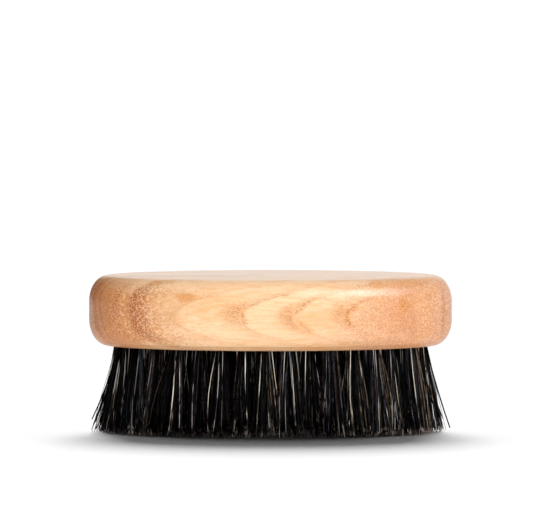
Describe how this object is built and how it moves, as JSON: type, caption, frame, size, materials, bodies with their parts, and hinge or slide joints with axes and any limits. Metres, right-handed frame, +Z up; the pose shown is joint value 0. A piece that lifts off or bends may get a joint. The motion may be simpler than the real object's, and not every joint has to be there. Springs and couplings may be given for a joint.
{
  "type": "beard brush",
  "caption": "Oval palm brush for the beard: a rounded one-piece wooden block with short dark bristle tufts set in drilled holes and held by flat wire anchors.",
  "frame": {"origin": "under the middle of the block, on the plane of the bristle tips", "axes": "+X along the block's length, +Y across it, +Z up through the block's flat back"},
  "size_m": [0.115, 0.06, 0.0497],
  "materials": {
    "wood": "satin",
    "bristle": "satin",
    "wire": "satin"
  },
  "bodies": {
    "root": {"block": "wood", "bristles_outer": "bristle", "bristles_middle": "bristle", "bristles_core": "bristle", "anchor_outer_01": "wire", "anchor_outer_02": "wire", "anchor_outer_03": "wire", "anchor_outer_04": "wire", "anchor_outer_05": "wire", "anchor_outer_06": "wire", "anchor_outer_07": "wire", "anchor_outer_08": "wire", "anchor_outer_09": "wire", "anchor_outer_10": "wire", "anchor_outer_11": "wire", "anchor_outer_12": "wire", "anchor_outer_13": "wire", "anchor_outer_14": "wire", "anchor_outer_15": "wire", "anchor_outer_16": "wire", "anchor_outer_17": "wire", "anchor_outer_18": "wire", "anchor_outer_19": "wire", "anchor_outer_20": "wire", "anchor_outer_21": "wire", "anchor_outer_22": "wire", "anchor_outer_23": "wire", "anchor_outer_24": "wire", "anchor_outer_25": "wire", "anchor_outer_26": "wire", "anchor_outer_27": "wire", "anchor_outer_28": "wire", "anchor_outer_29": "wire", "anchor_outer_30": "wire", "anchor_outer_31": "wire", "anchor_outer_32": "wire", "anchor_middle_01": "wire", "anchor_middle_02": "wire", "anchor_middle_03": "wire", "anchor_middle_04": "wire", "anchor_middle_05": "wire", "anchor_middle_06": "wire", "anchor_middle_07": "wire", "anchor_middle_08": "wire", "anchor_middle_09": "wire", "anchor_middle_10": "wire", "anchor_middle_11": "wire", "anchor_middle_12": "wire", "anchor_middle_13": "wire", "anchor_middle_14": "wire", "anchor_middle_15": "wire", "anchor_middle_16": "wire", "anchor_middle_17": "wire", "anchor_middle_18": "wire", "anchor_core_01": "wire", "anchor_core_02": "wire", "anchor_core_03": "wire", "anchor_core_04": "wire", "anchor_core_05": "wire", "anchor_core_06": "wire"}
  },
  "joints": []
}
